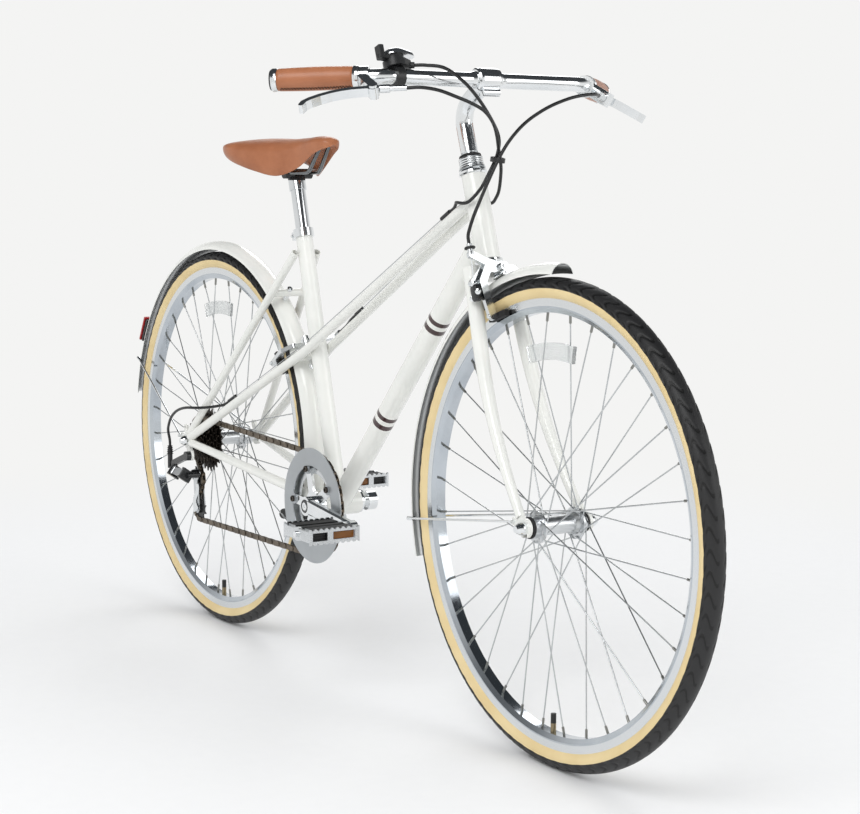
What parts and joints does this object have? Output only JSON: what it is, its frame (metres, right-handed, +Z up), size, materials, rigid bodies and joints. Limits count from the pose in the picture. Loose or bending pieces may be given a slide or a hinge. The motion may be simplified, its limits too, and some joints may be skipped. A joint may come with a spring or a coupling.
{
  "type": "bicycle",
  "caption": "Step-through city bicycle with twin lateral tubes, swept handlebar, fenders, rim brakes, derailleur gear, spoked wheels and kickstand.",
  "frame": {"origin": "on the ground, midway between the ends of the bicycle and between its sides", "axes": "+X forward, +Y to the rider's left, +Z up"},
  "size_m": [1.7534, 0.605, 1.011],
  "materials": {
    "white_paint": "white gloss paint",
    "polished_alloy": "polished aluminium alloy",
    "steel": "bright plated steel",
    "dark_steel": "oiled dark steel",
    "black_metal": "black coated metal",
    "black_plastic": "black plastic",
    "red_lens": "red reflector lens",
    "clear_lens": "clear reflector lens",
    "brown_leather": "brown leather",
    "tan_tyre": "rubber with tan side walls",
    "tube_rubber": "butyl rubber"
  },
  "bodies": {
    "frame": {"frame": "white_paint", "bearing_cups": "polished_alloy", "seat_collar": "polished_alloy", "rear_fender": "white_paint", "rear_fender_stays": "steel", "rear_reflector": "red_lens", "rear_axle": "steel", "rear_brake_bolt": "steel", "chain": "dark_steel", "frame_cables": "black_plastic", "derailleur_bracket": "black_metal"},
    "seat": {"seat_post": "polished_alloy", "saddle_rails": "steel", "saddle": "brown_leather"},
    "steering": {"fork": "white_paint", "headset_nuts": "polished_alloy", "stem": "polished_alloy", "handlebar": "polished_alloy", "grips": "brown_leather", "lever_brackets": "polished_alloy", "shifter_body": "black_plastic", "front_axle": "steel", "front_brake_bolt": "steel", "front_fender": "white_paint", "front_fender_stays": "steel", "front_brake_cable": "black_plastic", "control_cables": "black_plastic"},
    "front_wheel": {"front_tyre": "tan_tyre", "front_inner_tube": "tube_rubber", "front_rim": "polished_alloy", "front_spokes": "steel", "front_hub": "polished_alloy", "front_wheel_reflector": "clear_lens"},
    "rear_wheel": {"rear_tyre": "tan_tyre", "rear_inner_tube": "tube_rubber", "rear_rim": "polished_alloy", "rear_spokes": "steel", "rear_hub": "polished_alloy", "rear_wheel_reflector": "clear_lens"},
    "freewheel": {"freewheel": "dark_steel"},
    "crankset": {"crank_arms": "polished_alloy", "crank_axles": "steel", "chainring": "steel", "chain_guard": "polished_alloy"},
    "right_pedal": {"right_pedal": "black_plastic"},
    "left_pedal": {"left_pedal": "black_plastic"},
    "derailleur_outer_link": {"derailleur_outer_link": "black_metal"},
    "derailleur_inner_link": {"derailleur_inner_link": "black_metal"},
    "derailleur_knuckle": {"derailleur_knuckle": "black_metal"},
    "derailleur_cage": {"derailleur_cage": "black_metal"},
    "guide_pulley": {"guide_pulley": "black_plastic"},
    "tension_pulley": {"tension_pulley": "black_plastic"},
    "front_brake_arm_cable_side": {"front_brake_arm_cable_side": "polished_alloy"},
    "front_brake_arm_far_side": {"front_brake_arm_far_side": "polished_alloy"},
    "rear_brake_arm_cable_side": {"rear_brake_arm_cable_side": "polished_alloy"},
    "rear_brake_arm_far_side": {"rear_brake_arm_far_side": "polished_alloy"},
    "right_lever": {"right_lever": "polished_alloy"},
    "left_lever": {"left_lever": "polished_alloy"},
    "shift_lever": {"shift_lever": "black_plastic"},
    "kickstand": {"kickstand_leg": "steel"}
  },
  "joints": [
    {"name": "steering_turn", "type": "hinge", "parent": "frame", "child": "steering", "pos_m": [0.3564, 0, 0.70946], "axis": [-0.3173, 0, 0.9483], "range_deg": [-60, 60], "deforming": ["control_cables"]},
    {"name": "front_wheel_spin", "type": "hinge", "parent": "steering", "child": "front_wheel", "pos_m": [0.53074, 0, 0.346], "axis": [0, 1, 0], "continuous": true},
    {"name": "rear_wheel_spin", "type": "hinge", "parent": "frame", "child": "rear_wheel", "pos_m": [-0.51476, 0, 0.346], "axis": [0, 1, 0], "continuous": true},
    {"name": "crank_spin", "type": "hinge", "parent": "frame", "child": "crankset", "pos_m": [-0.07873, 0, 0.287], "axis": [0, 1, 0], "continuous": true, "deforming": ["chain"]},
    {"name": "freewheel_spin", "type": "hinge", "parent": "frame", "child": "freewheel", "pos_m": [-0.51476, 0, 0.346], "axis": [0, 1, 0], "continuous": true},
    {"name": "right_pedal_spin", "type": "hinge", "parent": "crankset", "child": "right_pedal", "pos_m": [0.08904, -0.08, 0.27821], "axis": [0, 1, 0], "continuous": true},
    {"name": "left_pedal_spin", "type": "hinge", "parent": "crankset", "child": "left_pedal", "pos_m": [-0.2465, 0.08, 0.29579], "axis": [0, 1, 0], "continuous": true},
    {"name": "shift_lever_turn", "type": "hinge", "parent": "steering", "child": "shift_lever", "pos_m": [0.34606, -0.15, 0.96668], "axis": [-0.342, 0, 0.9397], "range_deg": [-45, 45], "deforming": ["chain"]},
    {"name": "derailleur_outer_link_swing", "type": "hinge", "parent": "frame", "child": "derailleur_outer_link", "pos_m": [-0.55276, -0.08432, 0.28573], "axis": [0, 0.5736, 0.8192], "range_deg": [-28.81, 28.81]},
    {"name": "derailleur_inner_link_swing", "type": "hinge", "parent": "frame", "child": "derailleur_inner_link", "pos_m": [-0.55276, -0.07368, 0.27827], "axis": [0, 0.5736, 0.8192], "range_deg": [-28.81, 28.81]},
    {"name": "derailleur_knuckle_swing", "type": "hinge", "parent": "derailleur_outer_link", "child": "derailleur_knuckle", "pos_m": [-0.51476, -0.08432, 0.28573], "axis": [0, 0.5736, 0.8192], "range_deg": [-28.81, 28.81]},
    {"name": "cage_swing", "type": "hinge", "parent": "derailleur_knuckle", "child": "derailleur_cage", "pos_m": [-0.51676, 0, 0.282], "axis": [0, 1, 0], "range_deg": [-12, 28], "stiffness_Nm_per_rad": 0.6, "deforming": ["chain"]},
    {"name": "guide_pulley_spin", "type": "hinge", "parent": "derailleur_cage", "child": "guide_pulley", "pos_m": [-0.52776, 0, 0.271], "axis": [0, 1, 0], "continuous": true},
    {"name": "tension_pulley_spin", "type": "hinge", "parent": "derailleur_cage", "child": "tension_pulley", "pos_m": [-0.52014, 0, 0.21552], "axis": [0, 1, 0], "continuous": true},
    {"name": "left_lever_pull", "type": "hinge", "parent": "steering", "child": "left_lever", "pos_m": [0.36944, 0.20246, 0.94445], "axis": [0.3528, 0.3551, 0.8657], "range_deg": [0, 16], "stiffness_Nm_per_rad": 2},
    {"name": "right_lever_pull", "type": "hinge", "parent": "steering", "child": "right_lever", "pos_m": [0.36944, -0.20246, 0.94445], "axis": [-0.3528, 0.3551, -0.8657], "range_deg": [0, 16], "stiffness_Nm_per_rad": 2},
    {"name": "front_brake_cable_side_close", "type": "hinge", "parent": "steering", "child": "front_brake_arm_cable_side", "pos_m": [0.36275, 0, 0.6905], "axis": [0.9483, 0, 0.3173], "range_deg": [0, 1.28]},
    {"name": "front_brake_far_side_close", "type": "hinge", "parent": "steering", "child": "front_brake_arm_far_side", "pos_m": [0.36275, 0, 0.6905], "axis": [0.9483, 0, 0.3173], "range_deg": [-1.28, 0]},
    {"name": "rear_brake_cable_side_close", "type": "hinge", "parent": "frame", "child": "rear_brake_arm_cable_side", "pos_m": [-0.18025, 0, 0.52417], "axis": [-0.4701, 0, 0.8826], "range_deg": [0, 1.28]},
    {"name": "rear_brake_far_side_close", "type": "hinge", "parent": "frame", "child": "rear_brake_arm_far_side", "pos_m": [-0.18025, 0, 0.52417], "axis": [-0.4701, 0, 0.8826], "range_deg": [-1.28, 0]},
    {"name": "kickstand_swing", "type": "hinge", "parent": "frame", "child": "kickstand", "pos_m": [-0.12073, 0.024, 0.257], "axis": [-0.0698, -0.924, -0.3761], "range_deg": [0, 88]},
    {"name": "seat_height", "type": "slide", "parent": "frame", "child": "seat", "axis": [-0.2639, 0, 0.9646], "range_m": [-0.04, 0.04]}
  ],
  "couplings": [
    {"joint": "freewheel_spin", "follows": "crank_spin", "ratio": 2.1},
    {"joint": "guide_pulley_spin", "follows": "crank_spin", "ratio": -4.2},
    {"joint": "tension_pulley_spin", "follows": "crank_spin", "ratio": 4.2},
    {"joint": "derailleur_outer_link_swing", "follows": "shift_lever_turn", "ratio": -0.64019},
    {"joint": "derailleur_inner_link_swing", "follows": "shift_lever_turn", "ratio": -0.64019},
    {"joint": "derailleur_knuckle_swing", "follows": "shift_lever_turn", "ratio": 0.64019},
    {"joint": "front_brake_cable_side_close", "follows": "left_lever_pull", "ratio": 0.080141},
    {"joint": "front_brake_far_side_close", "follows": "left_lever_pull", "ratio": -0.080141},
    {"joint": "rear_brake_cable_side_close", "follows": "right_lever_pull", "ratio": 0.080141},
    {"joint": "rear_brake_far_side_close", "follows": "right_lever_pull", "ratio": -0.080141}
  ]
}
